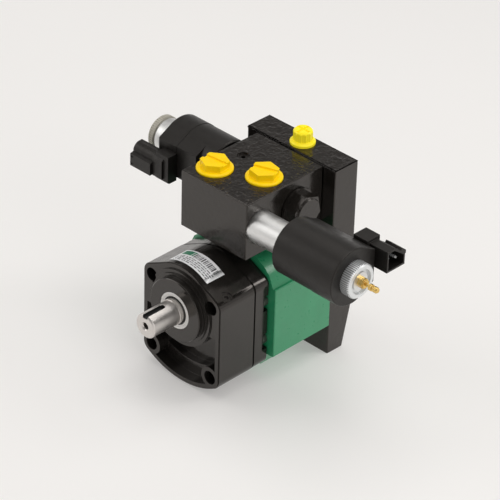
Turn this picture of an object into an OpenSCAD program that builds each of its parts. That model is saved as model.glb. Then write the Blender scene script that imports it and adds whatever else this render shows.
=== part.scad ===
// Flange-mounted hydraulic gear motor with an outboard-bearing nose, a rear port
// block and a bolted-on valve block carrying two solenoid cartridge valves.
// Origin: shaft axis at the mounting face. -Y is out along the shaft, +Z is up.

/* [Shaft and nose] */
// diameter of the keyed output shaft
shaft_d = 19.05; // [15:0.05:25.4]
// how far the shaft stands out of the mounting face
shaft_out = 35.8; // [25:0.1:60]
// width of the shaft keyway
key_w = 4.76; // [3:0.01:8]
// diameter of the locating spigot
pilot_d = 50; // [40:0.1:60]
// height of the locating spigot
pilot_h = 6.7; // [3:0.1:10]
// spacing of the four mounting holes, both ways
bolt_pitch = 60; // [50:0.5:80]
// diameter of the mounting holes
bolt_hole_d = 10.8; // [8.4:0.1:13.5]
// depth of the nose housing behind the mounting face
nose_len = 35.8; // [30:0.1:50]

/* [Gear motor] */
// thickness of the front cover
cover_len = 14.7; // [10:0.1:25]
// length of the gear body
body_len = 59; // [45:0.5:90]
// full width of the gear body over its side pads
body_w = 89.6; // [80:0.2:110]
// gear module
gear_m = 3; // [2:0.25:4]
// teeth on each gear
gear_z = 11; // [9:1:14]
// face width of the gears
gear_face = 23; // [10:0.5:30]

/* [Blocks] */
// width of the rear port block
rear_w = 88; // [80:0.5:120]
// thickness of the rear port block
rear_t = 23.7; // [18:0.1:40]
// top of the rear port block above the shaft axis
rear_top = 87.3; // [60:0.1:110]
// bottom of the rear port block below the shaft axis
rear_low = 72; // [60:0.5:90]
// left side of the valve block
blk_x0 = -33.5; // [-45:0.1:-25]
// right side of the valve block
blk_x1 = 32; // [25:0.1:45]
// front of the valve block
blk_y0 = 31.6; // [25:0.1:50]
// underside of the valve block
blk_z0 = 40.2; // [38:0.1:50]
// top of the valve block
blk_z1 = 86.6; // [75:0.1:110]

/* [Solenoid valves] */
// height of both valve axes above the shaft
valve_z = 64.3; // [55:0.1:80]
// right valve axis behind the mounting face
rv_y = 44.7; // [40:0.1:60]
// left valve axis behind the mounting face
lv_y = 84.5; // [75:0.1:95]
// coil barrel diameter
coil_d = 44.4; // [36:0.2:50]
// right coil inner end
rc_x0 = 65; // [45:0.5:75]
// right coil outer end
rc_x1 = 122; // [100:0.5:130]
// left coil outer end, measured to the left
lc_x1 = 88.5; // [75:0.5:100]
// stroke of the solenoid armatures
stroke = 3; // [1:0.1:4]

/* [Hidden] */
y1 = nose_len;
y2 = y1 + cover_len;
y3 = y2 + body_len;
y4 = y3 + rear_t;
bp = bolt_pitch / 2;
bolt_cz = -gear_m * gear_z / 2;
bz_hi = bolt_cz + bp;
bz_lo = bolt_cz - bp;
cd = gear_m * gear_z;
hub_r = 34.8;
lug_r = 9;
side_x = bp + lug_r;
low_r = sqrt(bp * bp + bz_lo * bz_lo) + lug_r;
ch_r = gear_m * gear_z / 2 + 2.4 + 0.3;
jr = 9;
fit = 0.05;
hx_y = 82.2;
gy0 = y2 + (body_len - gear_face) / 2;
gy1 = gy0 + gear_face;
cr = coil_d / 2;
sd = shaft_d / 2;
pr = pilot_d / 2;
black = [0.12, 0.12, 0.12];
steel = [0.72, 0.72, 0.70];
zinc = [0.80, 0.82, 0.84];
green = [0.10, 0.50, 0.32];
yellow = [0.98, 0.80, 0.05];
brass = [0.83, 0.62, 0.22];
rubber = [0.06, 0.06, 0.06];

// which piece to draw

// ---- helpers: extrusions and rods along Y and X ----
module ext_y(a, b) translate([0, b, 0]) rotate([90, 0, 0]) linear_extrude(height = b - a) children();
module ext_x(a, b) translate([a, 0, 0]) rotate([90, 0, 90]) linear_extrude(height = b - a) children();
module rod_y(a, b, r, x = 0, z = 0) translate([x, b, z]) rotate([90, 0, 0]) cylinder(h = b - a, r = r);
module cone_y(a, b, ra, rb, x = 0, z = 0)
  translate([x, b, z]) rotate([90, 0, 0]) cylinder(h = b - a, r1 = rb, r2 = ra);
module rod_x(a, b, r, y, z) translate([a, y, z]) rotate([0, 90, 0]) cylinder(h = b - a, r = r);
module cone_x(a, b, ra, rb, y, z) translate([a, y, z]) rotate([0, 90, 0]) cylinder(h = b - a, r1 = ra, r2 = rb);
module hex_x(a, b, af, y, z)
  translate([a, y, z]) rotate([0, 90, 0]) rotate(30) cylinder(h = b - a, r = af / sqrt(3), $fn = 6);
module hex_z(a, b, af, x, y, turn = 0)
  translate([x, y, a]) rotate(turn) cylinder(h = b - a, r = af / sqrt(3), $fn = 6);
module ring_y(a, b, ri, ro) difference() {
  rod_y(a, b, ro);
  rod_y(a - 1, b + 1, ri);
}
module torus_y(y, big, small) translate([0, y, 0]) rotate([90, 0, 0])
  rotate_extrude() translate([big, 0]) circle(r = small);
module mirror_x() {
  children();
  mirror([1, 0, 0]) children();
}
module cap_screw_y(tip, seat, r, head_r, head_h) {
  rod_y(tip, seat, r);
  difference() {
    rod_y(seat, seat + head_h, head_r);
    translate([0, seat + head_h + 1, 0]) rotate([90, 0, 0]) cylinder(h = head_h * 0.55 + 1, r = r * 0.95, $fn = 6);
  }
}
// coil spring of round wire, built ring by ring along a helix
module helix(big, small, turns, len, n = 20, m = 8) {
  k = round(turns * n);
  pts = [for (i = [0:k]) for (j = [0:m - 1])
    let (a = 360 * i / n, b = 360 * j / m, c = big + small * cos(b))
    [c * cos(a), c * sin(a), len * i / k + small * sin(b)]];
  sides = [for (i = [0:k - 1]) for (j = [0:m - 1])
    let (p = i * m + j, q = i * m + (j + 1) % m)
    [p, q, q + m, p + m]];
  polyhedron(points = pts, faces = concat(sides,
    [[for (j = [m - 1:-1:0]) j], [for (j = [0:m - 1]) k * m + j]]), convexity = 8);
}

// ---- shared outline of the nose housing and the front cover, seen along the shaft ----
function nrm(a) = [cos(a), sin(a)];
lug_d = sqrt(bp * bp + bz_hi * bz_hi);
tan_a = atan2(bz_hi, bp) + acos((hub_r - lug_r) / lug_d);
low_a = atan2(bz_lo, bp);
module outline(s = 0) {
  e = s + 0.06;
  h = nrm(tan_a) * (hub_r - e);
  t = [bp, bz_hi] + nrm(tan_a) * (lug_r - e);
  l = [bp, bz_lo] + nrm(low_a) * (lug_r - e - 1);
  polygon([h, t, [side_x - e, bz_hi], [side_x - e, bz_lo], l, [-l[0], l[1]],
    [-side_x + e, bz_lo], [-side_x + e, bz_hi], [-t[0], t[1]], [-h[0], h[1]]]);
  circle(r = hub_r - s);
  for (x = [-bp, bp]) for (z = [bz_hi, bz_lo]) translate([x, z]) circle(r = lug_r - s);
  intersection() {
    circle(r = low_r - e);
    polygon([[0, 0], nrm(low_a) * 120, [-nrm(low_a)[0], nrm(low_a)[1]] * 120]);
  }
}
module at_bolts() for (x = [-bp, bp]) for (z = [bz_hi, bz_lo]) translate([x, z]) children();

// ---- nose housing with its spigot, bearing seat and cast-out pocket ----
module pocket() difference() {
  intersection() {
    circle(r = low_r - 4.2);
    translate([-side_x + 4.2, -70]) square([2 * side_x - 8.4, 58.5]);
  }
  circle(r = 30.6);
  for (x = [-bp, bp]) translate([x, bz_lo]) circle(r = lug_r - 0.4);
}
module at_bleed() rotate([0, 90 - tan_a, 0]) translate([21.6, 10.4, hub_r - 3]) children();
module nose_housing() color(black) difference() {
  union() {
    ext_y(0.8, y1 - 0.9) outline();
    ext_y(0, 0.8) outline(0.8);
    ext_y(y1 - 0.9, y1) outline(1.3);
    rod_y(-1.4, 0, 30.2);
    rod_y(-2.6, -1.4, 27.4);
    rod_y(-pilot_h + 0.6, -2.6, pr);
    cone_y(-pilot_h, -pilot_h + 0.6, pr - 0.6, pr);
  }
  ext_y(-1, 9) pocket();
  ext_y(8, 15) difference() {
    pocket();
    difference() {
      circle(r = 80);
      circle(r = 49.5);
    }
  }
  ext_y(-5, y1 + 1) at_bolts() circle(d = bolt_hole_d);
  rod_y(-10, 3, 14.4);
  rod_y(2, 9, 20);
  rod_y(8, y1 + 1, 26);
  rod_y(23.2, 24.6, 27.4);
  for (x = [-1, 1]) for (z = [0, -33]) rod_y(20, y1 + 1, 2.6, x * 33.6, z);
  at_bleed() cylinder(h = 9, r = 3.4);
  at_bleed() translate([0, 0, 2.2]) cylinder(h = 5, r = 4.6);
}

// ---- outboard ball bearing, its clip and the shaft seal ----
by0 = 8.1;
by1 = 23.1;
bym = (by0 + by1) / 2;
ball_r = 3.97;
pitch_r = 19.3;
balls = 9;
module bearing_outer() color(steel) difference() {
  ring_y(by0, by1, 22.4, 25.98);
  torus_y(bym, pitch_r, ball_r + 0.3);
}
module bearing_inner() color(steel) difference() {
  ring_y(by0, by1, 12.5, 16.4);
  torus_y(bym, pitch_r, ball_r + 0.3);
}
module bearing_balls() color(steel) for (i = [0:balls - 1])
  rotate([0, i * 360 / balls, 0]) translate([pitch_r, bym, 0]) sphere(r = ball_r);
module bearing_cage() color(brass) difference() {
  ring_y(bym - 4.9, bym + 4.9, 18.7, 20.1);
  for (i = [0:balls - 1])
    rotate([0, i * 360 / balls, 0]) translate([12, bym, 0]) rotate([0, 90, 0]) cylinder(h = 14, r = ball_r + 0.15);
}
module snap_ring() color(steel) difference() {
  ring_y(23.3, 24.5, 23.6, 27.2);
  translate([-4, 22, -30]) cube([8, 4, 12]);
}
module seal_case() color(zinc) ring_y(-6.5, 1.8, 12.4, 14.35);
module shaft_seal() color([0.86, 0.86, 0.84]) difference() {
  rod_y(-6.2, -1.2, 12.4);
  rod_y(-7, 0, sd + 1.1);
}
module label_plate() color(zinc) ext_y(4.5, 21.8) intersection() {
  difference() {
    outline(-0.27);
    outline(-0.02);
  }
  polygon([[0, 0], [-50 * sin(29), 50 * cos(29)], [-30, 60], [30, 60], [50 * sin(37), 50 * cos(37)]]);
}
module bleed_screw() color(steel) at_bleed() difference() {
  cylinder(h = 2.1, r = 3.35);
  translate([0, 0, 0.9]) cylinder(h = 5, r = 1.9, $fn = 6);
}
module cover_seal() color(rubber) torus_y(y1 - 1.65, 25.3, 0.62);

// ---- output shaft and the coupling to the drive gear ----
module output_shaft() color(steel) difference() {
  union() {
    cone_y(-shaft_out, -shaft_out + 1.1, sd - 1.1, sd);
    rod_y(-shaft_out + 1.1, 0.5, sd);
    rod_y(0.5, by0, sd + 1);
    rod_y(by0, by1, 12.5);
    rod_y(by1, 27, 14.5);
    rod_y(27, 33, jr);
  }
  translate([-key_w / 2, -40, sd - 3]) cube([key_w, 40 - 16.9 - key_w / 2, 6]);
  translate([0, -16.9 - key_w / 2, sd - 3]) cylinder(h = 6, d = key_w);
  rod_y(-shaft_out - 1, -shaft_out + 13, 2.5);
  cone_y(-shaft_out - 0.01, -shaft_out + 1.2, 3.6, 2.4);
}
module coupling() color(steel) ring_y(27, 40.6, jr, 13);

// ---- front cover with its screw notches ----
module front_cover() color(black) difference() {
  union() {
    ext_y(y1 + 0.9, y2 - 1) outline(0.3);
    ext_y(y1, y1 + 0.9) outline(1.3);
    ext_y(y2 - 1, y2) outline(1.2);
    rod_y(y1 - 3.4, y1 + 0.5, 25.9);
  }
  ring_y(y1 - 2.4, y1 - 0.9, 24.62, 27);
  rod_y(y1 - 5, 41.4, 13.4);
  rod_y(40, y2 + 1, jr + 0.3);
  ext_y(39.5, y2 + 1) at_bolts() circle(r = 4.05);
  for (x = [-1, 1]) for (z = [0, -33]) {
    rod_y(y1 - 1, y2, 3.05, x * 33.6, z);
    translate([x > 0 ? 28 : -60, 45.2, z - 6.6]) cube([32, 8, 13.2]);
  }
}
module cover_screws() color(steel) for (x = [-1, 1]) for (z = [0, -33])
  translate([x * 33.6, 0, z]) difference() {
    union() {
      rod_y(21, 45.2, 2.55);
      rod_y(45.2, y2 - 0.3, 4.6);
    }
    translate([0, y2, 0]) rotate([90, 0, 0]) cylinder(h = 3, r = 2.6, $fn = 6);
  }

// ---- gear body, bushes and seals ----
bw = body_w / 2;
module body_outline() {
  polygon([[bw, 11.6], [bw - 0.6, 12.4], [42.4, 12.4], [41.2, 14.4], [38.4, 21.6], [32, 27.8], [23.8, 31.5],
    [15, 37.2], [8, 39.6], [2, 36.4], [-8, 34.2], [-15, 32.2], [-23.8, 28.2], [-32, 25.2], [-38.4, 20.6],
    [-41.2, 14.4], [-42.4, 12.4], [-bw + 0.6, 12.4], [-bw, 11.6], [-bw, -45.2], [-bw + 0.8, -46],
    [-38, -46], [-32, -58], [-16, -65], [16, -65], [32, -58], [38, -46], [bw - 0.8, -46], [bw, -45.2]]);
}
module chamber(r) {
  circle(r = r);
  translate([0, -cd]) circle(r = r);
}
module gear_body() color(green) difference() {
  ext_y(y2, y3) body_outline();
  ext_y(y2 - 1, y3 + 1) chamber(ch_r);
  ext_y(y2 - 1, y3 + 1) at_bolts() circle(r = 4.5);
  for (a = [y2, y3]) ext_y(a - 1.3, a + 1.3) difference() {
    chamber(ch_r + 4.3);
    chamber(ch_r + 1.7);
  }
}
module bush(a, b) difference() {
  ext_y(a, b) chamber(ch_r - 0.04);
  for (z = [0, -cd]) rod_y(a - 1, b + 1, jr + fit, 0, z);
  for (x = [-1, 1]) translate([x * 12 - 3, a - 1, -cd / 2 - 4]) cube([6, b - a + 2, 8]);
}
module bush_front() color(zinc) bush(y2 + 0.1, gy0 - 0.15);
module bush_rear() color(zinc) bush(gy1 + 0.15, y3 - 0.1);
module body_seals() color(rubber) for (a = [y2 + 0.02, y3 - 1.28]) ext_y(a, a + 1.26) difference() {
  chamber(ch_r + 4.1);
  chamber(ch_r + 1.9);
}

// ---- the two gears: involute teeth on shafts of one piece ----
rp = gear_m * gear_z / 2;
rb = rp * cos(20);
ra = rp + 2.4;
rf = rp - 3.1;
lash = 0.16;
function inv(a) = tan(a) * 180 / PI - a;
function flank(r) = r > rb ? inv(acos(rb / r)) : 0;
half_t = 90 / gear_z - lash / rp * 180 / PI / 2 + inv(20);
function tooth(c) = concat(
  [[rf * cos(c - half_t), rf * sin(c - half_t)]],
  [for (i = [0:6]) let (r = rb + (ra - rb) * i / 6, a = c - half_t + flank(r)) [r * cos(a), r * sin(a)]],
  [for (i = [6:-1:0]) let (r = rb + (ra - rb) * i / 6, a = c + half_t - flank(r)) [r * cos(a), r * sin(a)]],
  [[rf * cos(c + half_t), rf * sin(c + half_t)]]);
module gear_teeth(phase) polygon([for (i = [0:gear_z - 1]) each tooth(phase + i * 360 / gear_z)]);
module drive_gear() color(steel) {
  ext_y(gy0, gy1) gear_teeth(-90);
  rod_y(33, gy0, jr);
  rod_y(gy1, y3 - 3, jr);
}
module driven_gear() color(steel) translate([0, 0, -cd]) {
  ext_y(gy0, gy1) gear_teeth(90 + 180 / gear_z);
  rod_y(y2 + 3, gy0, jr);
  rod_y(gy1, y3 - 3, jr);
}

// ---- rear port block and the screws that pass through it ----
module rear_profile() polygon([[y3, -rear_low], [y4 - 7.7, -rear_low], [y4, -38], [y4, rear_top - 0.8],
  [y4 - 0.8, rear_top], [y3 + 0.8, rear_top], [y3, rear_top - 0.8]]);
screw_x = 22;
module rear_block() color(black) difference() {
  ext_x(-rear_w / 2, rear_w / 2) rear_profile();
  ext_y(y3 - 1, y4 + 1) at_bolts() circle(r = 4.2);
  ext_y(y4 - 12, y4 + 1) at_bolts() circle(r = 7);
  for (x = [-screw_x, screw_x]) for (z = [48, 79]) {
    rod_y(y3 - 1, y4 + 1, 3.2, x, z);
    rod_y(y4 - 6.6, y4 + 1, 5.2, x, z);
  }
  translate([0, y3 + rear_t / 2 + 0.2, rear_top - 13]) cylinder(h = 20, r = 6.9);
  translate([0, y3 + rear_t / 2 + 0.2, 60]) cylinder(h = 20, r = 4);
  rod_x(12, 18, 3.5, y3 + 8, 60);
  for (x = [-12, 12]) {
    translate([x, y3 + 9, -rear_low - 1]) cylinder(h = rear_low + 62, r = 3.5);
    rod_y(y3 - 1, y3 + 9, 3.5, x, -cd / 2);
    rod_y(y3 - 1, y3 + 9, 3.5, x > 0 ? 18 : -12, 60);
    translate([x, y3 + 9, -rear_low - 1]) cylinder(h = 8, r = 4.5);
  }
}
module through_bolts() color(steel) for (x = [-bp, bp]) for (z = [bz_hi, bz_lo])
  translate([x, 0, z]) cap_screw_y(40, y4 - 12, 4, 6.5, 8);
module block_screws() color(steel) for (x = [-screw_x, screw_x]) for (z = [48, 79])
  translate([x, 0, z]) cap_screw_y(y3 - 8, y4 - 6.6, 3, 5, 6);

// ---- valve block with two top ports and two cross cavities ----
pa = [-19.3, 51];
pb = [13.4, 67.9];
gp = [-17.5, 78.2];
module valve_block() color(black) difference() {
  translate([blk_x0, blk_y0, blk_z0]) cube([blk_x1 - blk_x0, y3 - blk_y0, blk_z1 - blk_z0]);
  for (p = [pa, pb]) {
    translate([p[0], p[1], blk_z1 - 15]) cylinder(h = 20, r = 9.4);
    translate([p[0], p[1], blk_z1 - 0.6]) cylinder(h = 2, r = 14.4);
  }
  translate([gp[0], gp[1], blk_z1 - 7]) cylinder(h = 20, r = 3.2);
  translate([gp[0], gp[1], blk_z1 - 1.4]) cylinder(h = 20, r = 4.6);
  rod_x(12, blk_x1 + 1, 11, rv_y, valve_z);
  rod_x(-16, 13, 8.6, rv_y, valve_z);
  rod_x(blk_x1 - 0.8, blk_x1 + 1, 13.6, rv_y, valve_z);
  rod_x(blk_x0 - 1, -13, 11, lv_y, valve_z);
  rod_x(-14, 12.6, 8.6, lv_y, valve_z);
  rod_x(12, 16, 2.6, hx_y, valve_z);
  rod_x(15.1, 21, 8.6, hx_y, valve_z);
  rod_x(blk_x0 - 1, blk_x0 + 0.6, 13.6, lv_y, valve_z);
  rod_x(20, blk_x1 + 1, 10, hx_y, valve_z);
  rod_x(blk_x1 - 0.8, blk_x1 + 1, 15.6, hx_y, valve_z);
  for (x = [-screw_x, screw_x]) for (z = [48, 79]) rod_y(y3 - 9, y3 + 1, 3.05, x, z);
  translate([blk_x0 - 1, y3, blk_z1]) rotate([45, 0, 0]) translate([0, -0.6, -0.6])
    cube([blk_x1 - blk_x0 + 2, 1.2, 1.2]);
  rod_y(lv_y, y3 + 1, 3.5, -12, 60);
  rod_y(lv_y, y3 + 1, 3.5, 18, 60);
  rod_y(rv_y, lv_y, 3, -6, valve_z);
  translate([pb[0], 73.5, valve_z]) cylinder(h = 12, r = 3);
}
module socket_plug(r, h) difference() {
  cylinder(h = h, r = r);
  translate([0, 0, h * 0.45]) cylinder(h = h, r = r * 0.58, $fn = 6);
}
module gallery_plugs() color(black) {
  translate([gp[0], gp[1], blk_z1 - 6.9]) socket_plug(3.15, 5.4);
  for (x = [-12, 12]) translate([x, y3 + 9, -rear_low + 6.9]) mirror([0, 0, 1]) socket_plug(4.45, 6.4);
}

// ---- yellow transport plugs in the open ports ----
module port_plug(turn) {
  translate([0, 0, -8]) cylinder(h = 8.1, r = 9.2);
  translate([0, 0, 0.1]) cylinder(h = 1.4, r = 13.7);
  translate([0, 0, 1.5]) cylinder(h = 0.9, r1 = 13.7, r2 = 12.4);
  difference() {
    rotate(turn) translate([0, 0, 2.3]) cylinder(h = 5.3, r = 10.9, $fn = 6);
    rotate(turn + 30) translate([-15, -2.2, 6.2]) cube([30, 4.4, 5]);
  }
}
module port_plugs() color(yellow) {
  translate([pa[0], pa[1], blk_z1 - 0.6]) port_plug(-24);
  translate([pb[0], pb[1], blk_z1 - 0.6]) port_plug(-10);
}
module drain_plug() color([0.93, 0.90, 0.18]) translate([0, y3 + rear_t / 2 + 0.2, rear_top]) {
  translate([0, 0, -9]) cylinder(h = 9.1, r = 6.7);
  translate([0, 0, 0.1]) cylinder(h = 1.7, r = 9.5);
  translate([0, 0, 1.8]) cylinder(h = 1.4, r1 = 9.5, r2 = 7.8);
  difference() {
    union() {
      translate([0, 0, 3.2]) cylinder(h = 7.1, r = 7);
      translate([0, 0, 10.3]) cylinder(h = 1.2, r1 = 7, r2 = 5.8);
      for (i = [0:11]) rotate(i * 30) translate([6.45, 0, 3.2]) cylinder(h = 6.6, r = 0.95);
    }
    translate([-6, -0.9, 9.7]) cube([12, 1.8, 4]);
    translate([-0.9, -6, 9.7]) cube([1.8, 12, 4]);
  }
}

// ---- shared solenoid shapes, axis along +X at the origin ----
module coil_profile(r, side) {
  k = 60.8;
  circle(r = r);
  polygon([[0, r * 0.8], [side * r * cos(k), r * sin(k)], [side * (r + 0.1), 13], [side * (r + 0.1), -13],
    [side * r * cos(k), -r * sin(k)], [0, -r * 0.8]]);
}
module coil(a, b, step, pad0, side) difference() {
  union() {
    ext_x(pad0, step) coil_profile(cr - 0.3, side);
    ext_x(a + 1, pad0 + 1) circle(r = cr - 0.3);
    cone_x(a, a + 1, cr - 1.3, cr - 0.3, 0, 0);
    ext_x(step, b - 0.8) coil_profile(cr, side);
    ext_x(b - 0.8, b) coil_profile(cr - 0.8, side);
  }
  rod_x(a - 1, b + 1, 8.1, 0, 0);
}
module knurled(a, b, r, n) difference() {
  union() {
    rod_x(a, b - 1.2, r, 0, 0);
    cone_x(b - 1.2, b, r, r - 1.2, 0, 0);
  }
  for (i = [0:n - 1]) rotate([i * 360 / n, 0, 0]) translate([a - 1, -0.35, r - 0.6]) cube([b - a - 0.4, 0.7, 2]);
}
module connector_profile(side, g) polygon([[side * (24.5 + g), -3.8 + g], [side * (43 - g), -3.8 + g],
  [side * (43 - g), 5.6 - g * 0.6], [side * (32.3 - g * 0.4), 13.4 - g], [side * (24.5 + g), 13.4 - g]]);
module connector(arm0, arm1, tip, side) {
  ext_x(arm0, arm1) polygon([[side * (cr + 0.15), -6.5], [side * 33, -6.5], [side * 35.3, -4.2],
    [side * 35.3, 15.7], [side * (cr + 0.15), 15.7]]);
  difference() {
    ext_x(arm1, tip) connector_profile(side, 0);
    ext_x(arm1 + 2, tip + 1) connector_profile(side, 1.5);
  }
  ext_x(arm1 + 2, tip) polygon([[side * 37.8, 8.4], [side * 42.6, 4.4], [side * 43.8, 5.4], [side * 43.8, 7.6],
    [side * 39.4, 10.9]]);
}
module pin(a, b, y, z) {
  rod_x(a, b - 0.8, 1.05, y, z);
  cone_x(b - 0.8, b, 1.05, 0.5, y, z);
}
module cartridge(neck) difference() {
  union() {
    rod_x(-18, 0, 10.95, 0, 0);
    rod_x(-42, -18, 8.55, 0, 0);
    rod_x(0, neck - 3.6, 12.3, 0, 0);
    rod_x(neck - 3.6, neck - 2.4, 11.3, 0, 0);
    rod_x(neck - 2.4, neck - 1.4, 12.3, 0, 0);
  }
  rod_x(-43, -3, 3.85, 0, 0);
  rod_x(-4, neck, 5.6, 0, 0);
  for (x = [-26, -35]) translate([x, 0, -12]) cylinder(h = 24, r = 2.2);
}
module core(neck, far) difference() {
  union() {
    rod_x(neck - 1.4, far, 7.95, 0, 0);
    rod_x(far, far + 6, 7, 0, 0);
  }
  rod_x(neck - 3, far - 2, 5.6, 0, 0);
  rod_x(neck - 3, far + 8, 2.3, 0, 0);
}
module armature(a, b) difference() {
  rod_x(a, b, 5.3, 0, 0);
  translate([a - 1, -1, 3.9]) cube([b - a + 2, 2, 3]);
}
module spool(a, b) {
  rod_x(a, a + 5, 3.77, 0, 0);
  rod_x(a + 5, a + 9, 2.4, 0, 0);
  rod_x(a + 9, a + 15, 3.77, 0, 0);
  rod_x(a + 15, b, 1.8, 0, 0);
}

// ---- right valve: proportional, with a push override at its end ----
module at_rv() translate([0, rv_y, valve_z]) children();
rneck = rc_x0 - blk_x1 + 0.8;
module prop_cartridge() color(zinc) at_rv() translate([blk_x1 - 0.8, 0, 0]) cartridge(rneck);
module prop_core() color(zinc) at_rv() core(rc_x0, rc_x1 + 1.2);
module prop_ring() color([0.9, 0.9, 0.88]) at_rv() difference() {
  rod_x(rc_x0 - 1.35, rc_x0 - 0.05, 13.5, 0, 0);
  rod_x(rc_x0 - 3, rc_x0 + 1, 8, 0, 0);
}
module prop_coil() color(black) at_rv() coil(rc_x0, rc_x1, 100, 67.5, 1);
module prop_connector() color(black) at_rv() connector(101, 114.3, 131.5, 1);
module prop_terminals() color(zinc) at_rv() {
  pin(116.3, 127.8, 29.8, 4.2);
  pin(116.3, 127.8, 37.8, 2.2);
}
module prop_nut() color(zinc) at_rv() difference() {
  translate([rc_x1 + 0.1, 0, 0]) knurled(0, 8, 13.3, 54);
  rod_x(rc_x1 - 1, rc_x1 + 1.4, 8, 0, 0);
  rod_x(rc_x1 - 1, rc_x1 + 10, 7.05, 0, 0);
  rod_x(rc_x1 + 5.6, rc_x1 + 10, 9.6, 0, 0);
}
module prop_guide() color(brass) at_rv() difference() {
  union() {
    rod_x(rc_x1 + 1, rc_x1 + 7.3, 2.25, 0, 0);
    hex_x(rc_x1 + 7.2, rc_x1 + 11.4, 7, 0, 0);
    rod_x(rc_x1 + 11.2, rc_x1 + 12.4, 3.1, 0, 0);
  }
  rod_x(rc_x1, rc_x1 + 14, 1.3, 0, 0);
}
module override_pin() color(brass) at_rv() {
  rod_x(rc_x1 - 0.5, rc_x1 + 16, 1.25, 0, 0);
  rod_x(rc_x1 + 16, rc_x1 + 18.5, 2.5, 0, 0);
  rod_x(rc_x1 + 18.5, rc_x1 + 20, 1.7, 0, 0);
  rod_x(rc_x1 + 20, rc_x1 + 22.5, 2.3, 0, 0);
  cone_x(rc_x1 + 22.5, rc_x1 + 23.5, 2.3, 1.6, 0, 0);
}
module prop_armature() color(steel) at_rv() armature(rc_x1 - 36, rc_x1 - 1);
module prop_spool() color(steel) at_rv() spool(-3, rc_x1 - 36);
module prop_spring() color(steel) at_rv() translate([-15.4, 0, 0]) rotate([0, 90, 0]) helix(2.8, 0.45, 5, 11.8);

// ---- left valve: switching, no override, smooth end nut ----
module at_lv() translate([0, lv_y, valve_z]) mirror([1, 0, 0]) children();
lx = -blk_x0;
module dir_cartridge() color(zinc) at_lv() translate([lx - 0.6, 0, 0]) cartridge(4.4);
module dir_core() color(zinc) at_lv() core(lx + 3.8, lc_x1 + 8);
module dir_coil() color(black) at_lv() coil(lx + 3.9, lc_x1, 70, 50, -1);
function dome(g) = [for (a = [0:10:90]) [-26 - (6.2 - g) * cos(a), -1.5 + (6.2 - g) * sin(a)]];
module dir_shell(g) polygon(concat([[-23.2 - g, -12.7 + g], [-35.3 + g, -12.7 + g], [-35.3 + g, -2.6 - g],
  [-32.2 + g, -1.8 - g]], dome(g), [[-23.2 - g, 4.7 - g]]));
module dir_connector() color(black) at_lv() {
  ext_x(69.3, 82.2) polygon([[-cr - 0.15, -15.5], [-29.8, -15.5], [-31.3, -14.4], [-31.3, 7.2], [-cr - 0.15, 7.2]]);
  ext_x(74.2, 84.2) polygon([[-23.2, -12.7], [-33, -12.7], [-33, 2], [-31, 4.2], [-23.2, 4.2]]);
  difference() {
    ext_x(84, 105) dir_shell(0);
    ext_x(86, 106) dir_shell(1.4);
    for (z = [-4.6, -10.6]) translate([102.2, -36, z - 0.7]) cube([1.6, 1.4, 1.4]);
  }
  ext_x(85, 101.5) polygon([[-27, 4.5], [-25, 4.5], [-25, 5.4], [-26.2, 5.4]]);
}
module dir_terminals() color(zinc) at_lv() {
  pin(86, 101, -29.3, -9);
  pin(86, 101, -29.3, -1.2);
}
module dir_nut() color(zinc) at_lv() difference() {
  union() {
    rod_x(lc_x1 + 0.1, lc_x1 + 14, 13.4, 0, 0);
    rod_x(lc_x1 + 14, lc_x1 + 15.4, 12.4, 0, 0);
  }
  rod_x(lc_x1 - 1, lc_x1 + 8, 8, 0, 0);
  rod_x(lc_x1 + 7, lc_x1 + 17, 7.05, 0, 0);
}
module dir_cap() color([0.78, 0.76, 0.68]) at_lv() translate([lc_x1 + 15.4, 0, 0]) difference() {
  knurled(0, 5.4, 14, 48);
  rod_x(2.4, 7, 9.5, 0, 0);
}
module dir_armature() color(steel) at_lv() armature(lc_x1 - 33, lc_x1 + 5.5);
module dir_spool() color(steel) at_lv() spool(-5, lc_x1 - 33);
module dir_spring() color(steel) at_lv() translate([-12.1, 0, 0]) rotate([0, 90, 0]) helix(2.8, 0.45, 3, 6.5);

// ---- relief valve behind the hex cap on the right ----
module relief_cap() color(black) translate([0, hx_y, valve_z]) rotate([-19, 0, 0]) difference() {
  union() {
    rod_x(21, blk_x1 - 0.8, 9.95, 0, 0);
    rod_x(blk_x1 - 0.8, blk_x1 + 2.4, 14.9, 0, 0);
    hex_x(blk_x1 + 2.2, blk_x1 + 11.6, 24, 0, 0);
    cone_x(blk_x1 + 11.4, blk_x1 + 13, 11.9, 10.6, 0, 0);
  }
  rod_x(20, 31, 4.68, 0, 0);
}
module relief_poppet() color(steel) translate([0, hx_y, valve_z]) {
  cone_x(14.2, 17, 1.5, 4.6, 0, 0);
  rod_x(16.9, 24, 4.6, 0, 0);
}
module relief_spring() color(steel) translate([24.6, hx_y, valve_z]) rotate([0, 90, 0]) helix(3.4, 0.5, 3, 5.8);

nose_housing();
bearing_outer();
bearing_inner();
bearing_balls();
bearing_cage();
snap_ring();
seal_case();
shaft_seal();
label_plate();
bleed_screw();
cover_seal();
output_shaft();
coupling();
front_cover();
cover_screws();
gear_body();
bush_front();
bush_rear();
body_seals();
drive_gear();
driven_gear();
through_bolts();
rear_block();
valve_block();
block_screws();
gallery_plugs();
port_plugs();
drain_plug();
prop_cartridge();
prop_core();
prop_ring();
prop_coil();
prop_connector();
prop_terminals();
prop_nut();
prop_guide();
override_pin();
prop_armature();
prop_spool();
prop_spring();
dir_cartridge();
dir_core();
dir_coil();
dir_connector();
dir_terminals();
dir_nut();
dir_cap();
dir_armature();
dir_spool();
dir_spring();
relief_cap();
relief_poppet();
relief_spring();
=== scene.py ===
import math
import random

import bmesh
import bpy
from mathutils import Matrix, Vector


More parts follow.
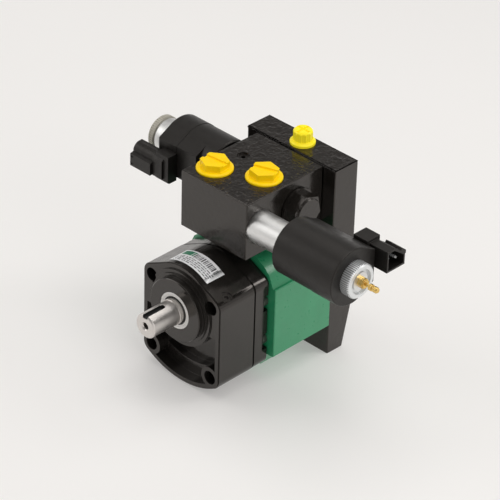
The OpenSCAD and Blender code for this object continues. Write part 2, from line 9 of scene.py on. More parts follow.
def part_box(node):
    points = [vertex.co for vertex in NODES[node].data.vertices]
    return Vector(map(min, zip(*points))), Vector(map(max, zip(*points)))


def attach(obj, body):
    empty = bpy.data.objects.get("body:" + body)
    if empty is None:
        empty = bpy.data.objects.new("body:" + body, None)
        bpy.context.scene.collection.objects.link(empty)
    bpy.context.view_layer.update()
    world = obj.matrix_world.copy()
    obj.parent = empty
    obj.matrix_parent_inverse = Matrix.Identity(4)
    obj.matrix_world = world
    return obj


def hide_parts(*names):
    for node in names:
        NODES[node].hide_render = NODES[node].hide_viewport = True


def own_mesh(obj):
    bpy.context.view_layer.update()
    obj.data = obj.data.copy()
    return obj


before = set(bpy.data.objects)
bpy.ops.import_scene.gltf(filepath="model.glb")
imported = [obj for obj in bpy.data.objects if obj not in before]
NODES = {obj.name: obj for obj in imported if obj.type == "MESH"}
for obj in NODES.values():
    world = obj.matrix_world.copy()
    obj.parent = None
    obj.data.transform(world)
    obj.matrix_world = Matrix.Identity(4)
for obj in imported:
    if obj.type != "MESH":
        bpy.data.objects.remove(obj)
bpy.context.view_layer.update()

MM = 0.001


# ---------------------------------------------------------------- node helpers
def material(name, colour, rough, metallic=0.0, coat=0.0, coat_rough=0.1, specular=0.5,
             tint=(1, 1, 1)):
    """A new material with its constant values set on the shader's own sockets."""
    m = bpy.data.materials.new(name)
    m.use_nodes = True
    b = m.node_tree.nodes["Principled BSDF"]
    b.inputs["Base Color"].default_value = (*colour, 1)
    b.inputs["Roughness"].default_value = rough
    b.inputs["Metallic"].default_value = metallic
    b.inputs["Coat Weight"].default_value = coat
    b.inputs["Coat Roughness"].default_value = coat_rough
    b.inputs["Specular IOR Level"].default_value = specular
    b.inputs["Specular Tint"].default_value = (*tint, 1)
    return m


class Graph:
    """Short calls for the nodes that the materials below are made of."""

    def __init__(self, mat):
        self.t = mat.node_tree
        self.shader = self.t.nodes["Principled BSDF"]
        self.coords = self.t.nodes.new("ShaderNodeTexCoord").outputs["Object"]
        self.normal = None

    def put(self, socket, value):
        """Links a socket to another one, or sets it to a number."""
        if hasattr(value, "links"):
            self.t.links.new(value, socket)
        else:
            socket.default_value = value

    def scaled(self, scale):
        """The object's own coordinates, stretched by scale."""
        n = self.t.nodes.new("ShaderNodeMapping")
        self.t.links.new(self.coords, n.inputs["Vector"])
        n.inputs["Scale"].default_value = scale
        return n.outputs["Vector"]

    def noise(self, scale, detail=3.0, rough=0.5, stretch=(1, 1, 1), distort=0.0):
        n = self.t.nodes.new("ShaderNodeTexNoise")
        self.t.links.new(self.scaled(stretch), n.inputs["Vector"])
        n.inputs["Scale"].default_value = scale
        n.inputs["Detail"].default_value = detail
        n.inputs["Roughness"].default_value = rough
        n.inputs["Distortion"].default_value = distort
        return n.outputs["Fac"]

    def ramp(self, fac, low, high, a=0.0, b=1.0):
        """fac between low and high mapped to a..b, clamped."""
        n = self.t.nodes.new("ShaderNodeMapRange")
        self.put(n.inputs["Value"], fac)
        n.inputs["From Min"].default_value = low
        n.inputs["From Max"].default_value = high
        n.inputs["To Min"].default_value = a
        n.inputs["To Max"].default_value = b
        return n.outputs["Result"]

    def math(self, op, a, b=0.0):
        n = self.t.nodes.new("ShaderNodeMath")
        n.operation = op
        self.put(n.inputs[0], a)
        self.put(n.inputs[1], b)
        return n.outputs[0]

    def mix(self, fac, a, b):
        n = self.t.nodes.new("ShaderNodeMix")
        n.data_type = "RGBA"
        self.put(n.inputs["Factor"], fac)
        for i, v in ((6, a), (7, b)):
            if hasattr(v, "links"):
                self.t.links.new(v, n.inputs[i])
            else:
                n.inputs[i].default_value = (*v, 1)
        return n.outputs[2]

    def facing_up(self):
        """The upward part of the surface's own normal."""
        n = self.t.nodes.new("ShaderNodeNewGeometry")
        split = self.t.nodes.new("ShaderNodeSeparateXYZ")
        self.t.links.new(n.outputs["Normal"], split.inputs[0])
        return split.outputs["Z"]

    def bump(self, height, distance, strength=1.0):
        n = self.t.nodes.new("ShaderNodeBump")
        self.t.links.new(height, n.inputs["Height"])
        n.inputs["Distance"].default_value = distance
        n.inputs["Strength"].default_value = strength
        if self.normal is not None:
            self.t.links.new(self.normal, n.inputs["Normal"])
        self.normal = n.outputs["Normal"]
        self.t.links.new(self.normal, self.shader.inputs["Normal"])

    def colour(self, value):
        self.t.links.new(value, self.shader.inputs["Base Color"])

    def rough(self, value):
        self.t.links.new(value, self.shader.inputs["Roughness"])


# ---------------------------------------------------------------- materials
# tint of the gloss on the black paints
WARM = (1.0, 0.92, 0.86)
# the knurled nut: how many grooves it has, and the radius in mm that they reach down to
KNURL_COUNT = 54
KNURL_INNER = 12.75


def black_enamel():
    """Thick gloss paint of the machined blocks, with orange peel on the faces that lay upwards."""
    m = material("black_enamel", (0.011, 0.0095, 0.0085), 0.16, coat=0.1, coat_rough=0.06, tint=WARM)
    g = Graph(m)
    g.colour(g.mix(g.noise(60, 4), (0.008, 0.007, 0.006), (0.016, 0.0138, 0.012)))
    g.rough(g.ramp(g.noise(140, 5), 0.3, 0.7, 0.1, 0.24))
    peel = g.math("MULTIPLY", g.noise(230, 2, distort=0.8), g.ramp(g.facing_up(), 0.5, 0.95, 0.22, 1.0))
    g.bump(peel, 0.0007, 0.8)
    g.bump(g.noise(620, 2), 0.00006, 0.4)
    return m


def cast_enamel():
    """Black paint over a casting."""
    m = material("cast_enamel", (0.011, 0.010, 0.009), 0.18, coat=0.08, coat_rough=0.1, tint=WARM)
    g = Graph(m)
    g.colour(g.mix(g.noise(90, 4), (0.008, 0.0072, 0.0065), (0.016, 0.0145, 0.013)))
    g.rough(g.ramp(g.noise(200, 5), 0.3, 0.7, 0.1, 0.22))
    g.bump(g.noise(300, 2), 0.00009, 0.35)
    g.bump(g.noise(110, 2), 0.00022, 0.3)
    return m


def green_enamel():
    """Half-gloss green paint of the gear body."""
    m = material("green_enamel", (0.02, 0.27, 0.115), 0.3, coat=0.3, coat_rough=0.18)
    g = Graph(m)
    g.colour(g.mix(g.noise(80, 4), (0.016, 0.24, 0.10), (0.026, 0.30, 0.13)))
    g.rough(g.ramp(g.noise(200, 4), 0.3, 0.7, 0.26, 0.4))
    g.bump(g.noise(260, 2), 0.00008, 0.35)
    return m


def moulded_black():
    """Fine-grained black plastic of the coils and connectors."""
    m = material("moulded_black", (0.010, 0.0093, 0.0087), 0.38, specular=0.34,
                 tint=(1.0, 0.95, 0.91))
    g = Graph(m)
    g.colour(g.mix(g.noise(70, 4), (0.008, 0.0073, 0.0067), (0.012, 0.011, 0.010)))
    g.rough(g.ramp(g.noise(250, 4), 0.3, 0.7, 0.34, 0.46))
    g.bump(g.noise(2600, 2), 0.00004, 0.5)
    return m


def zinc(name, tint, rough, metallic):
    """Zinc plate with faint turning lines round X."""
    m = material(name, tint, rough, metallic)
    g = Graph(m)
    dull = tuple(c * 0.86 for c in tint)
    g.colour(g.mix(g.noise(120, 5), dull, tint))
    g.rough(g.ramp(g.noise(60, 3, stretch=(8, 0.3, 0.3)), 0.3, 0.7, rough, rough + 0.1))
    g.bump(g.noise(200, 2, stretch=(9, 0.1, 0.1)), 0.000005, 0.25)
    return m


def knurled_zinc(name, node, count, inner_mm):
    """Zinc with the shade that lies in a knurl's grooves, round the node's own X axis."""
    m = material(name, (0.78, 0.80, 0.81), 0.36, metallic=0.6)
    g = Graph(m)
    lo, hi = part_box(node)
    split = g.t.nodes.new("ShaderNodeSeparateXYZ")
    g.t.links.new(g.coords, split.inputs[0])
    y = g.math("SUBTRACT", split.outputs["Y"], (lo.y + hi.y) / 2)
    z = g.math("SUBTRACT", split.outputs["Z"], (lo.z + hi.z) / 2)
    turn = g.math("MULTIPLY", g.math("ARCTAN2", y, z), count)
    radius = g.math("SQRT", g.math("ADD", g.math("MULTIPLY", y, y), g.math("MULTIPLY", z, z)))
    outside = g.ramp(radius, (inner_mm - 0.15) * MM, inner_mm * MM)
    shade = g.math("MULTIPLY", g.ramp(g.math("COSINE", turn), -0.5, 0.7), outside)
    plate = g.mix(g.noise(120, 5), (0.72, 0.74, 0.75), (0.82, 0.84, 0.85))
    g.colour(g.mix(shade, plate, (0.10, 0.10, 0.10)))
    g.rough(g.ramp(g.noise(60, 3, stretch=(8, 0.3, 0.3)), 0.3, 0.7, 0.34, 0.46))
    return m


def turned_steel():
    """Bright steel with turning lines round Y."""
    m = material("turned_steel", (0.66, 0.63, 0.60), 0.3, metallic=1.0)
    g = Graph(m)
    g.colour(g.mix(g.noise(90, 3), (0.60, 0.57, 0.545), (0.70, 0.67, 0.64)))
    g.rough(g.ramp(g.noise(60, 3, stretch=(0.3, 9, 0.3)), 0.3, 0.7, 0.3, 0.42))
    g.bump(g.noise(200, 2, stretch=(0.1, 9, 0.1)), 0.000006, 0.3)
    return m


def dark_steel():
    """Blackened steel of the screws."""
    m = material("dark_steel", (0.16, 0.155, 0.15), 0.28, metallic=1.0)
    g = Graph(m)
    g.colour(g.mix(g.noise(300, 4), (0.11, 0.105, 0.10), (0.22, 0.21, 0.20)))
    g.rough(g.ramp(g.noise(500, 4), 0.3, 0.7, 0.28, 0.45))
    g.bump(g.noise(1500, 3), 0.00004, 0.4)
    return m


def brass():
    """Turned brass of the override."""
    m = material("brass", (0.76, 0.53, 0.18), 0.22, metallic=1.0)
    g = Graph(m)
    g.colour(g.mix(g.noise(400, 4), (0.64, 0.43, 0.12), (0.86, 0.60, 0.22)))
    g.rough(g.ramp(g.noise(700, 4), 0.3, 0.7, 0.18, 0.34))
    g.bump(g.noise(1200, 2, stretch=(5, 0.3, 0.3)), 0.000006, 0.4)
    return m


def yellow(name, low, high, rough, glow):
    """Soft yellow plastic that lets some light through, with a painted glow: it gives off light of its own
    colour, as strong as glow, though it is no lamp.
    """
    m = material(name, high, rough, specular=0.22)
    b = m.node_tree.nodes["Principled BSDF"]
    b.inputs["Subsurface Weight"].default_value = 0.12
    b.inputs["Subsurface Radius"].default_value = (0.004, 0.002, 0.0002)
    # painted glow: the plastic gives off light of its own colour, as strong as glow
    b.inputs["Emission Color"].default_value = (*high, 1)
    b.inputs["Emission Strength"].default_value = glow
    g = Graph(m)
    g.colour(g.mix(g.noise(120, 3), low, high))
    g.rough(g.ramp(g.noise(350, 3), 0.3, 0.7, rough, rough + 0.12))
    g.bump(g.noise(900, 2), 0.00004, 0.35)
    return m


def rubber():
    """Dull black rubber."""
    m = material("rubber", (0.015, 0.015, 0.015), 0.62)
    g = Graph(m)
    g.colour(g.mix(g.noise(300, 4), (0.012, 0.012, 0.012), (0.022, 0.022, 0.022)))
    g.bump(g.noise(1800, 3), 0.00005, 0.5)
    return m


def pale_moulding(name, low, high, rough):
    """Pale plastic."""
    m = material(name, high, rough)
    g = Graph(m)
    g.colour(g.mix(g.noise(200, 4), low, high))
    g.rough(g.ramp(g.noise(300, 4), 0.3, 0.7, rough, rough + 0.15))
    g.bump(g.noise(1200, 2), 0.00003, 0.4)
    return m


def foil():
    """Silvery foil of the label."""
    m = material("foil", (0.88, 0.885, 0.90), 0.34, metallic=0.1)
    g = Graph(m)
    g.colour(g.mix(g.noise(140, 4), (0.85, 0.86, 0.88), (0.93, 0.935, 0.945)))
    g.rough(g.ramp(g.noise(260, 4), 0.3, 0.7, 0.26, 0.4))
    g.bump(g.noise(160, 2), 0.00004, 0.4)
    return m


def ink(name, low, high):
    """Print on the label."""
    m = material(name, high, 0.45)
    g = Graph(m)
    g.colour(g.mix(g.noise(2500, 3), low, high))
    g.bump(g.noise(3000, 2), 0.00001, 0.3)
    return m


MATS = {
    "black": black_enamel(),
    "cast": cast_enamel(),
    "green": green_enamel(),
    "moulded": moulded_black(),
    "zinc": zinc("bright_zinc", (0.80, 0.80, 0.79), 0.34, 1.0),
    "zinc_dull": zinc("zinc_dull", (0.74, 0.76, 0.77), 0.36, 0.6),
    "knurled": knurled_zinc("knurled_zinc", "prop_nut", KNURL_COUNT, KNURL_INNER),
    "steel": turned_steel(),
    "dark": dark_steel(),
    "brass": brass(),
    # the last number of each yellow is its painted glow: the plastic gives off light though it is no lamp
    "yellow": yellow("yellow_moulding", (0.95, 0.60, 0.0), (1.0, 0.70, 0.0), 0.3, 0.05),
    "lemon": yellow("lemon_moulding", (1.0, 0.80, 0.02), (1.0, 0.87, 0.03), 0.24, 0.1),
    "rubber": rubber(),
    "white": pale_moulding("white_moulding", (0.70, 0.69, 0.67), (0.82, 0.81, 0.79), 0.3),
    "beige": pale_moulding("beige_moulding", (0.42, 0.40, 0.34), (0.55, 0.53, 0.46), 0.4),
    "foil": foil(),
    "ink": ink("dark_ink", (0.03, 0.03, 0.035), (0.08, 0.08, 0.09)),
    "green_ink": ink("green_ink", (0.01, 0.14, 0.07), (0.02, 0.24, 0.12)),
}

NODE_MATS = {
    "cast": ["nose_housing", "front_cover", "bleed_screw"],
    "black": ["rear_block", "valve_block", "relief_cap", "gallery_plugs"],
    "green": ["gear_body"],
    "moulded": ["prop_coil", "dir_coil", "prop_connector", "dir_connector"],
    "zinc": ["prop_cartridge", "prop_core", "dir_cartridge", "dir_core", "dir_nut"],
    "knurled": ["prop_nut"],
    "zinc_dull": ["prop_terminals", "dir_terminals", "bush_front", "bush_rear"],
    "steel": ["output_shaft", "coupling", "drive_gear", "driven_gear", "bearing_outer", "bearing_inner",
              "bearing_balls", "prop_armature", "prop_spool", "dir_armature", "dir_spool", "relief_poppet",
              "prop_spring", "dir_spring", "relief_spring"],
    "dark": ["cover_screws", "through_bolts", "block_screws", "snap_ring"],
    "brass": ["bearing_cage", "prop_guide", "override_pin"],
    "yellow": ["port_plugs"],
    "lemon": ["drain_plug"],
    "rubber": ["cover_seal", "body_seals"],
    "white": ["shaft_seal", "seal_case", "prop_ring"],
    "beige": ["dir_cap"],
    "foil": ["label_plate"],
}

# width of the rounding on each node's edges, in mm; the others keep their own edges
EDGE_MM = {
    "nose_housing": 0.5, "front_cover": 0.4, "rear_block": 0.8, "valve_block": 0.7, "gear_body": 0.5,
    "prop_coil": 0.9, "dir_coil": 0.9, "prop_connector": 0.35, "dir_connector": 0.35, "port_plugs": 0.3,
    "drain_plug": 0.35, "relief_cap": 0.35, "output_shaft": 0.25, "prop_cartridge": 0.3, "dir_cartridge": 0.3,
    "dir_nut": 0.35, "override_pin": 0.12, "prop_guide": 0.15, "seal_case": 0.2,
    "prop_ring": 0.15, "bleed_screw": 0.15, "cover_screws": 0.25, "through_bolts": 0.25,
    "block_screws": 0.25,
}
# width of the rounding on the long straight edges of the blocks, in mm
WIDE_MM = {"valve_block": 0.8, "rear_block": 0.8, "gear_body": 0.7, "front_cover": 0.6}
# a straight edge counts as long from here up, in metres
LONG_EDGE = 0.009
# edges sharper than this stay crisp, and get the rounding
SHARP = math.radians(34)
# long edges sharper than this get the wide rounding
SQUARE = math.radians(60)
# faces that meet flatter than this are one face
FLAT = math.radians(0.06)


# ---------------------------------------------------------------- smooth shading and rounded edges
def new_group(name):
    """A geometry node group with its two ends: tree, input node, output node."""
    t = bpy.data.node_groups.new(name, "GeometryNodeTree")
    for way in ("INPUT", "OUTPUT"):
        t.interface.new_socket("Geometry", in_out=way, socket_type="NodeSocketGeometry")
    return t, t.nodes.new("NodeGroupInput"), t.nodes.new("NodeGroupOutput")


def greater(t, value, limit):
    n = t.nodes.new("FunctionNodeCompare")
    n.operation = "GREATER_THAN"
    n.inputs[1].default_value = limit
    t.links.new(value, n.inputs[0])
    return n.outputs[0]


def sharper(t, limit):
    """Whether the faces of an edge meet more sharply than limit."""
    angle = t.nodes.new("GeometryNodeInputMeshEdgeAngle")
    return greater(t, angle.outputs["Unsigned Angle"], limit)


def cleaned_group():
    """Joins the doubled corners of a solid's faces."""
    t, a, z = new_group("joined_corners")
    drop = t.nodes.new("GeometryNodeRemoveAttribute")
    drop.inputs["Name"].default_value = "custom_normal"
    merge = t.nodes.new("GeometryNodeMergeByDistance")
    merge.inputs["Distance"].default_value = 1e-6
    t.links.new(a.outputs[0], drop.inputs["Geometry"])
    t.links.new(drop.outputs[0], merge.inputs["Geometry"])
    t.links.new(merge.outputs[0], z.inputs[0])
    return t


def smooth_group():
    """Shades smooth, and keeps edges sharper than SHARP crisp."""
    t, a, z = new_group("smooth_by_angle")
    faces = t.nodes.new("GeometryNodeSetShadeSmooth")
    faces.domain = "FACE"
    edges = t.nodes.new("GeometryNodeSetShadeSmooth")
    edges.domain = "EDGE"
    edges.inputs["Shade Smooth"].default_value = False
    t.links.new(sharper(t, SHARP), edges.inputs["Selection"])
    t.links.new(a.outputs[0], faces.inputs["Geometry"])
    t.links.new(faces.outputs[0], edges.inputs["Geometry"])
    t.links.new(edges.outputs[0], z.inputs[0])
    return t


def long_edge_group():
    """Marks the long square edges for the wide rounding."""
    t, a, z = new_group("long_edges")
    ends = t.nodes.new("GeometryNodeInputMeshEdgeVertices")
    span = t.nodes.new("ShaderNodeVectorMath")
    span.operation = "DISTANCE"
    t.links.new(ends.outputs["Position 1"], span.inputs[0])
    t.links.new(ends.outputs["Position 2"], span.inputs[1])
    both = t.nodes.new("FunctionNodeBooleanMath")
    both.operation = "AND"
    t.links.new(greater(t, span.outputs["Value"], LONG_EDGE), both.inputs[0])
    t.links.new(sharper(t, SQUARE), both.inputs[1])
    store = t.nodes.new("GeometryNodeStoreNamedAttribute")
    store.data_type = "FLOAT"
    store.domain = "EDGE"
    store.inputs["Name"].default_value = "bevel_weight_edge"
    t.links.new(both.outputs[0], store.inputs["Value"])
    t.links.new(a.outputs[0], store.inputs["Geometry"])
    t.links.new(store.outputs["Geometry"], z.inputs[0])
    return t


CLEANED = cleaned_group()
SMOOTH = smooth_group()
LONG_EDGES = long_edge_group()


def smooth(obj):
    obj.modifiers.new("smooth", "NODES").node_group = SMOOTH


def round_edges(obj, width_mm):
    """Rounds every sharp edge, as far as the smallest detail leaves room."""
    bev = obj.modifiers.new("rounded", "BEVEL")
    bev.limit_method = "ANGLE"
    bev.angle_limit = SHARP
    bev.width = width_mm * MM
    bev.segments = 2
    bev.use_clamp_overlap = True
    bev.harden_normals = False


def round_long_edges(obj, width_mm):
    """Rounds the long square edges at their full width."""
    obj.modifiers.new("long_edges", "NODES").node_group = LONG_EDGES
    bev = obj.modifiers.new("wide", "BEVEL")
    bev.limit_method = "WEIGHT"
    bev.width = width_mm * MM
    bev.segments = 3
    bev.use_clamp_overlap = False


def dress(name, mat):
    """Gives a CAD node its material, smooth shading and rounded edges."""
    obj = NODES[name]
    for i in range(max(1, len(obj.data.materials))):
        if i < len(obj.data.materials):
            obj.data.materials[i] = mat
        else:
            obj.data.materials.append(mat)
    obj.modifiers.new("joined", "NODES").node_group = CLEANED
    if name not in EDGE_MM:
        smooth(obj)
        return
    flat = obj.modifiers.new("flat", "DECIMATE")
    flat.decimate_type = "DISSOLVE"
    flat.angle_limit = FLAT
    smooth(obj)
    if name in WIDE_MM:
        round_long_edges(obj, WIDE_MM[name])
    round_edges(obj, EDGE_MM[name])
    level = obj.modifiers.new("level", "WEIGHTED_NORMAL")
    level.keep_sharp = True
    level.weight = 80


for key, names in NODE_MATS.items():
    for node_name in names:
        dress(node_name, MATS[key])


# ---------------------------------------------------------------- pieces made here
def piece(name, verts, faces, mat, body="housing"):
    """A mesh piece in metres, already in place, that rides on a body."""
    mesh = bpy.data.meshes.new(name)
    mesh.from_pydata(verts, [], faces)
    mesh.update()
    obj = bpy.data.objects.new(name, mesh)
    bpy.context.scene.collection.objects.link(obj)
    obj.data.materials.append(mat)
    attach(obj, body)
    return obj


# label: it lies on the nose's round top and on the flats beside it, all in mm
HUB_R = 35.1
FLAT_ANGLE = math.radians(27.4)
LABEL_Y0 = 4.5
PRINT_LIFT = 0.03
# longest straight step of a mark round the nose
MARK_STEP = 1.2
# ruled lines: their places across the label, and where they start and end along it
RULE_ROWS = (1.6, 3.5, 5.4, 7.3)
RULE_START, RULE_LAST, RULE_END = -16.0, 19.5, 20.5
# bars: where they start and end along the label, and their two ends across it
BAR_START, BAR_LAST = -3.0, 19.4
BAR_ENDS = (9.6, 14.8)
# green patch and the thin strip beside it
GREEN_MARKS = [(-15.6, -6.2, 10.2, 15.8), (-5.4, -4.0, 10.2, 15.8)]


def on_label(along, across):
    """A point of the print: along the label from its top centre, across from its front edge."""
    r = HUB_R + PRINT_LIFT
    edge = HUB_R * FLAT_ANGLE
    turn = max(-edge, min(edge, along)) / HUB_R
    beyond = along - turn * HUB_R
    x = r * math.sin(turn) + beyond * math.cos(turn)
    z = r * math.cos(turn) - beyond * math.sin(turn)
    return (x * MM, (LABEL_Y0 + across) * MM, z * MM)


def label_marks(name, marks, mat):
    """Printed rectangles (along0, along1, across0, across1), bent with the label."""
    verts, faces = [], []
    for a0, a1, c0, c1 in marks:
        steps = max(1, math.ceil((a1 - a0) / MARK_STEP))
        base = len(verts)
        for i in range(steps + 1):
            a = a0 + (a1 - a0) * i / steps
            verts += [on_label(a, c0), on_label(a, c1)]
        for i in range(steps):
            k = base + 2 * i
            faces.append((k, k + 2, k + 3, k + 1))
    return piece(name, verts, faces, mat)


def label_print():
    """Blank rules and bars that stand for the label's lines; there are no letters."""
    rnd = random.Random(4)
    rules = []
    for across in RULE_ROWS:
        a = RULE_START
        while a < RULE_LAST:
            b = min(RULE_END, a + rnd.uniform(0.9, 3.4))
            rules.append((a, b, across, across + rnd.uniform(0.7, 0.9)))
            a = b + rnd.uniform(0.5, 1.6)
    bars = []
    a = BAR_START
    while a < BAR_LAST:
        w = rnd.choice((0.5, 0.5, 0.8, 1.1))
        bars.append((a, a + w, *BAR_ENDS))
        a += w + rnd.choice((0.5, 0.7, 1.1))
    label_marks("label_rules", rules, MATS["ink"])
    label_marks("label_bars", bars, MATS["ink"])
    label_marks("label_strip", GREEN_MARKS, MATS["green_ink"])


# shaft: closed outlines of (y, radius) in mm, turned round the shaft's axis
SHAFT_STEP = [(-10.2, 9.5), (-10.2, 9.7), (-9.9, 9.95), (0.2, 9.95), (0.2, 9.5)]
SEAL_LIP = [(-6.1, 11.3), (-6.35, 11.15), (-6.35, 10.4), (-6.1, 10.2), (-5, 10.2), (-5, 11.3)]
RING_STEPS = 96
# keyway's painted shade, a dark sheet: half its width, its floor and top above the axis, and its two ends, in
# mm
KEY_HALF = 2.3
KEY_FLOOR = 6.6
KEY_TOP = 9.1
KEY_Y0, KEY_Y1 = -35.4, -19.3
KEY_ARC_STEPS = 12


def turned_ring(name, profile, mat, body):
    """A ring turned round the shaft's axis from a closed profile."""
    verts, faces = [], []
    n = len(profile)
    for i in range(RING_STEPS):
        a = 2 * math.pi * i / RING_STEPS
        for y, r in profile:
            verts.append((r * math.cos(a) * MM, y * MM, r * math.sin(a) * MM))
    for i in range(RING_STEPS):
        j = (i + 1) % RING_STEPS
        for k in range(n):
            m = (k + 1) % n
            faces.append((i * n + k, i * n + m, j * n + m, j * n + k))
    smooth(piece(name, verts, faces, mat, body))


def paint_keyway_shade():
    """Painted shade: a dark sheet on the floor and walls of the keyway, where shade falls in the slot."""
    path = [(-KEY_HALF, KEY_Y0), (-KEY_HALF, KEY_Y1)]
    for i in range(1, KEY_ARC_STEPS):
        a = math.pi * i / KEY_ARC_STEPS
        path.append((-KEY_HALF * math.cos(a), KEY_Y1 + KEY_HALF * math.sin(a)))
    path += [(KEY_HALF, KEY_Y1), (KEY_HALF, KEY_Y0)]
    n = len(path)
    verts = [(x * MM, y * MM, z * MM) for z in (KEY_FLOOR, KEY_TOP) for x, y in path]
    faces = [tuple(range(n))] + [(i, i + 1, n + i + 1, n + i) for i in range(n - 1)]
    # painted shade: the sheet takes the dull black rubber material to stand for the shade in the slot
    piece("keyway_painted_shade", verts, faces, MATS["rubber"], "rotor")


def shaft_details():
    """Step where the shaft meets the seal, the seal's dark lip round it, and the painted shade in the keyway.
    """
    turned_ring("shaft_step", SHAFT_STEP, MATS["steel"], "rotor")
    turned_ring("seal_lip", SEAL_LIP, MATS["rubber"], "housing")
    paint_keyway_shade()


# coils: barrel radius, moulded radius at the outer end, and the flat-sided pad, in mm
COIL_R = 22.2
RIM = 0.8
RIM_STEPS = 5
PAD_ANGLE = math.radians(60.8)
PAD_HALF = 13
PAD_PROUD = 0.1
BARREL_STEPS = 40


def coil_outline(r, side):
    """The coil's end outline at radius r: a round barrel with a flat-sided pad, as (y, z)."""
    sweep = 2 * math.pi - 2 * PAD_ANGLE
    points = []
    for i in range(BARREL_STEPS + 1):
        a = PAD_ANGLE + sweep * i / BARREL_STEPS
        points.append((side * r * math.cos(a), r * math.sin(a)))
    flat = side * (r + PAD_PROUD)
    return points + [(flat, -PAD_HALF), (flat, PAD_HALF)]


def coil_rim(name, node, end, inward, side):
    """Moulded radius round the outer end of a coil, which fills the step of the CAD solid."""
    lo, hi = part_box(node)
    axis_y = lo.y / MM + COIL_R if side > 0 else hi.y / MM - COIL_R
    axis_z = (lo.z + hi.z) / 2 / MM
    section = []
    for i in range(RIM_STEPS + 1):
        a = math.pi / 2 * i / RIM_STEPS
        section.append((RIM * (1 - math.sin(a)), COIL_R - RIM * (1 - math.cos(a))))
    section.append((RIM, COIL_R - RIM))
    rings = [[(end + inward * depth, axis_y + y, axis_z + z) for y, z in coil_outline(r, side)]
             for depth, r in section]
    n, k = len(rings[0]), len(rings)
    verts = [tuple(v * MM for v in p) for ring in rings for p in ring]
    faces = [(j * n + i, j * n + (i + 1) % n, (j + 1) % k * n + (i + 1) % n, (j + 1) % k * n + i)
             for j in range(k) for i in range(n)]
    obj = piece(name, verts, faces, MATS["moulded"])
    bm = bmesh.new()
    bm.from_mesh(obj.data)
    bmesh.ops.recalc_face_normals(bm, faces=bm.faces)
    bm.to_mesh(obj.data)
    bm.free()
    smooth(obj)


def coil_rims():
    coil_rim("prop_coil_rim", "prop_coil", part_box("prop_coil")[1].x / MM, -1, 1)
    coil_rim("dir_coil_rim", "dir_coil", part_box("dir_coil")[0].x / MM, 1, -1)


# springs: node, joint, turns, wire radius and travel in mm, and whether the +X end stays still
SPRINGS = (
    ("prop_spring", "prop_slide", 5, 0.45, 3, False),
    ("dir_spring", "dir_slide", 3, 0.45, 3, True),
    ("relief_spring", "relief_slide", 3, 0.5, 2.5, True),
)
WIRE_SIDES = 10
STEPS_A_TURN = 24


def wire_coil(lo, hi, turns, wire):
    """Verts in metres and faces of a wire coil round X that fills the box lo..hi, in mm."""
    axis_y, axis_z = (lo.y + hi.y) / 2, (lo.z + hi.z) / 2
    reach = (hi.z - lo.z) / 2 - wire
    steps = turns * STEPS_A_TURN
    n = WIRE_SIDES
    verts = []
    for i in range(steps + 1):
        turn = 2 * math.pi * i / STEPS_A_TURN
        x = lo.x + wire + (hi.x - lo.x - 2 * wire) * i / steps
        for k in range(n):
            a = 2 * math.pi * k / n
            r = reach + wire * math.cos(a)
            place = (x + wire * math.sin(a), axis_y + r * math.cos(turn), axis_z + r * math.sin(turn))
            verts.append(tuple(v * MM for v in place))
    faces = [(i * n + k, i * n + (k + 1) % n, (i + 1) * n + (k + 1) % n, (i + 1) * n + k)
             for i in range(steps) for k in range(n)]
    faces += [tuple(range(n)), tuple(reversed(range(steps * n, (steps + 1) * n)))]
    return verts, faces


def live_spring(node, joint, turns, wire, travel, fixed_high):
    """Wire spring in the place of a CAD spring, which it hides; it keeps its length and place when the joint
    moves.
    """
    lo, hi = (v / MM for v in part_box(node))
    verts, faces = wire_coil(lo, hi, turns, wire)
    obj = piece(node + "_wire", verts, faces, MATS["steel"])
    smooth(obj)
    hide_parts(node)
    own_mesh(obj)


label_print()
shaft_details()
coil_rims()
for spring in SPRINGS:
    live_spring(*spring)


# ---------------------------------------------------------------- floor, light and camera
# the foot's rear edge, in front of the rear block's back face, in mm
FOOT_INSET = 7.7
# the floor lies this far below what it touches, in metres
FLOOR_GAP = 0.0002
FLOOR_HALF = 4


def floor():
    """Pale table top: it touches the nose's lowest point and the rear block's foot, so it leans a little."""
    nose = Vector((0, 0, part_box("nose_housing")[0].z))
    foot = Vector((0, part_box("rear_block")[1].y - FOOT_INSET * MM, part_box("rear_block")[0].z))
    lean = math.atan2(foot.z - nose.z, foot.y - nose.y)
    bm = bmesh.new()
    bmesh.ops.create_grid(bm, x_segments=24, y_segments=24, size=FLOOR_HALF)
    mesh = bpy.data.meshes.new("floor")
    bm.to_mesh(mesh)
    bm.free()
    obj = bpy.data.objects.new("floor", mesh)
    bpy.context.scene.collection.objects.link(obj)
    place = Matrix.Translation(foot - Vector((0, 0, FLOOR_GAP)))
    obj.matrix_world = place @ Matrix.Rotation(lean, 4, "X")
    m = material("table_top", (0.65, 0.64, 0.63), 0.34, specular=0.3)
    glow = m.node_tree.nodes["Principled BSDF"]
    glow.inputs["Emission Color"].default_value = (1.0, 0.985, 0.965, 1)
    glow.inputs["Emission Strength"].default_value = 0.27
    g = Graph(m)
    g.colour(g.mix(g.noise(3, 3), (0.64, 0.63, 0.62), (0.66, 0.65, 0.64)))
    obj.data.materials.append(m)


# lights: name, place, size in metres, power in watts, colour; all of them aim at one point
AIM = Vector((0, 0.03, 0))
LIGHTS = (
    ("key", (0.0, 0.35, 1.75), (1.9, 1.5), 20, (1.0, 0.985, 0.965)),
    ("fill", (-1.5, -0.9, 1.1), (1.4, 1.2), 9, (1.0, 0.985, 0.97)),
    ("side", (1.7, -0.3, 0.8), (1.0, 1.0), 6, (1.0, 0.985, 0.97)),
    ("rim", (1.05, 1.2, 1.12), (0.5, 0.5), 5, (1.0, 0.985, 0.97)),
)
# the room round the object: bright low down, darker from the second height up
ROOM_STRENGTH = 0.78
ROOM_LOW, ROOM_HIGH = 0.1, 0.56
ROOM_BRIGHT = (0.96, 0.94, 0.92, 1)
ROOM_DARK = (0.27, 0.265, 0.26, 1)


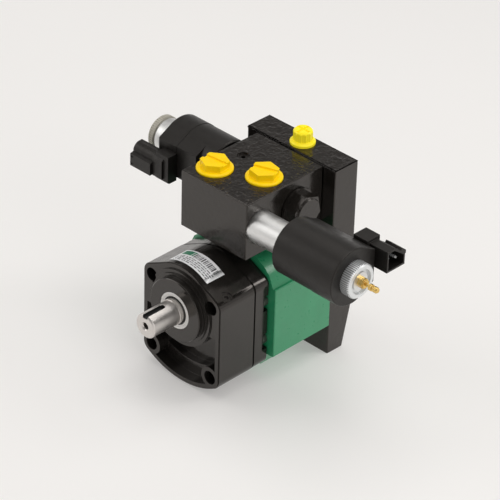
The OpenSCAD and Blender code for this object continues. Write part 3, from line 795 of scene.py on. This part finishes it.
def area(name, place, size, power, colour):
    light = bpy.data.lights.new(name, "AREA")
    light.shape = "RECTANGLE"
    light.size, light.size_y = size
    light.energy = power
    light.color = colour
    obj = bpy.data.objects.new(name, light)
    bpy.context.scene.collection.objects.link(obj)
    obj.location = place
    obj.rotation_mode = "QUATERNION"
    obj.rotation_quaternion = (AIM - Vector(place)).to_track_quat("-Z", "Y")


def room():
    """Soft light from all round, graded with height."""
    world = bpy.data.worlds.new("studio")
    bpy.context.scene.world = world
    world.use_nodes = True
    t = world.node_tree
    back = t.nodes["Background"]
    back.inputs["Strength"].default_value = ROOM_STRENGTH
    where = t.nodes.new("ShaderNodeTexCoord")
    split = t.nodes.new("ShaderNodeSeparateXYZ")
    rise = t.nodes.new("ShaderNodeMapRange")
    rise.inputs["From Min"].default_value = ROOM_LOW
    rise.inputs["From Max"].default_value = ROOM_HIGH
    mix = t.nodes.new("ShaderNodeMix")
    mix.data_type = "RGBA"
    mix.inputs[6].default_value = ROOM_BRIGHT
    mix.inputs[7].default_value = ROOM_DARK
    t.links.new(where.outputs["Generated"], split.inputs[0])
    t.links.new(split.outputs["Z"], rise.inputs["Value"])
    t.links.new(rise.outputs["Result"], mix.inputs["Factor"])
    t.links.new(mix.outputs[2], back.inputs["Color"])


# camera: azimuth, elevation and roll in degrees, place in metres, lens in mm
CAMERA_AZIMUTH = 43.6
CAMERA_ELEVATION = 33.1
CAMERA_ROLL = 1.7
CAMERA_PLACE = (1.1921, -1.1822, 1.1444)
CAMERA_LENS = 204.6


def camera():
    az, el, roll = (math.radians(v) for v in (CAMERA_AZIMUTH, CAMERA_ELEVATION, CAMERA_ROLL))
    back = Vector((math.sin(az) * math.cos(el), -math.cos(az) * math.cos(el), math.sin(el)))
    right = Vector((math.cos(az), math.sin(az), 0))
    up = back.cross(right)
    across = math.cos(roll) * right + math.sin(roll) * up
    upward = -math.sin(roll) * right + math.cos(roll) * up
    cam = bpy.data.cameras.new("camera")
    cam.sensor_width = 36
    cam.lens = CAMERA_LENS
    cam.clip_start, cam.clip_end = 0.05, 20
    obj = bpy.data.objects.new("camera", cam)
    bpy.context.scene.collection.objects.link(obj)
    turn = Matrix((across, upward, back)).transposed().to_4x4()
    obj.matrix_world = Matrix.Translation(CAMERA_PLACE) @ turn
    bpy.context.scene.camera = obj


floor()
room()
for lamp in LIGHTS:
    area(*lamp)
camera()
bpy.context.scene.view_settings.view_transform = "Standard"
